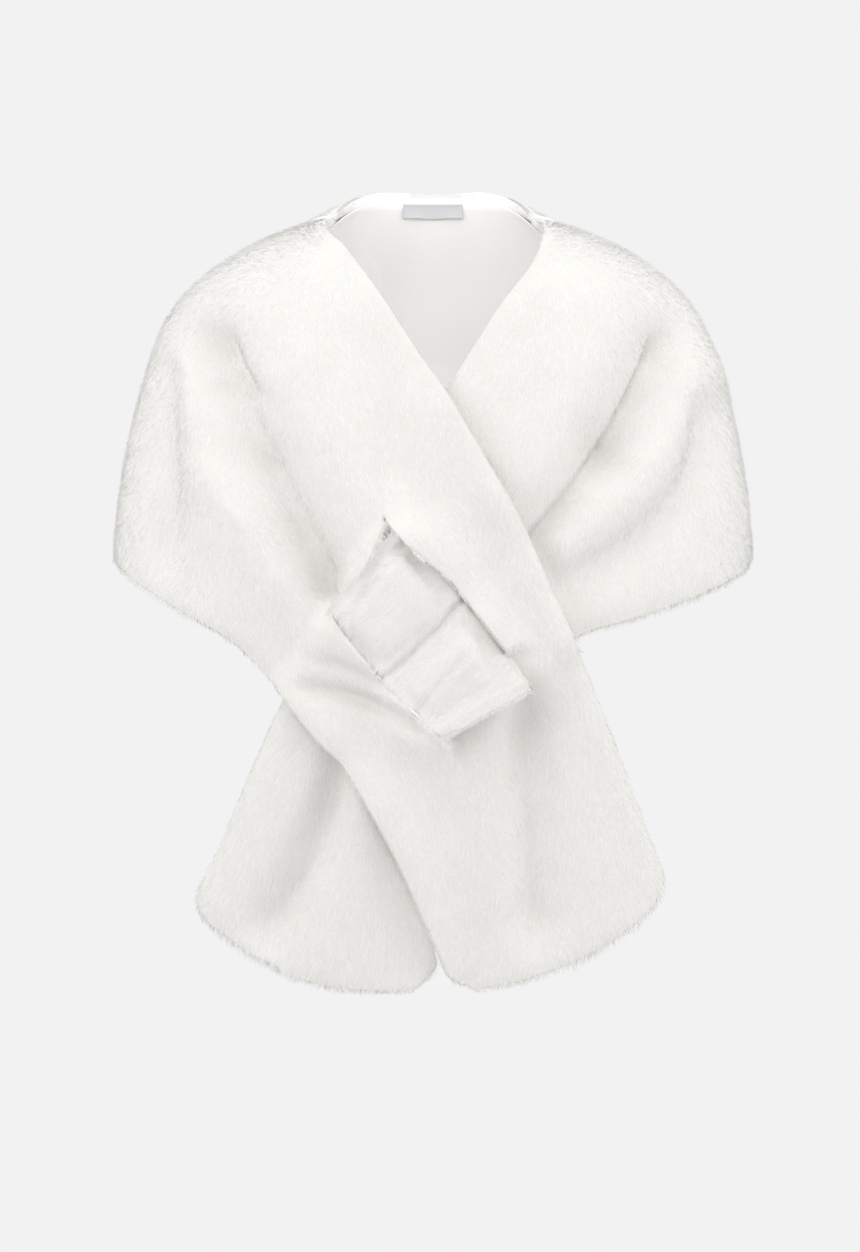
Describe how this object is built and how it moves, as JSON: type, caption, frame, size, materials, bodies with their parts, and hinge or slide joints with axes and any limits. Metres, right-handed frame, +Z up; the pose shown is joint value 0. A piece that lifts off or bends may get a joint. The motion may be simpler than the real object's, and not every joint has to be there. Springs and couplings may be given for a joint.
{
  "type": "faux fur pull-through stole",
  "caption": "Worn faux-fur shoulder wrap: wide hollow cape round the back and shoulders, ends crossed in front, one pulled through slits in the other.",
  "frame": {"origin": "middle of the base of the neck, where the wearer's shoulders carry the wrap", "axes": "+Z up, the wearer faces -Y, +X is the wearer's left"},
  "size_m": [0.5914, 0.3257, 0.738],
  "materials": {
    "faux_fur": "dense short plush pile, soft and matt with pale silky tips",
    "lining": "smooth satin weave with a soft sheen",
    "label": "bare woven ribbon with a fine rib"
  },
  "bodies": {
    "root": {"back_panel": "faux_fur", "right_front": "faux_fur", "left_front": "faux_fur", "left_through": "faux_fur", "left_tail": "faux_fur", "back_lining": "lining", "neck_label": "label"}
  },
  "joints": []
}
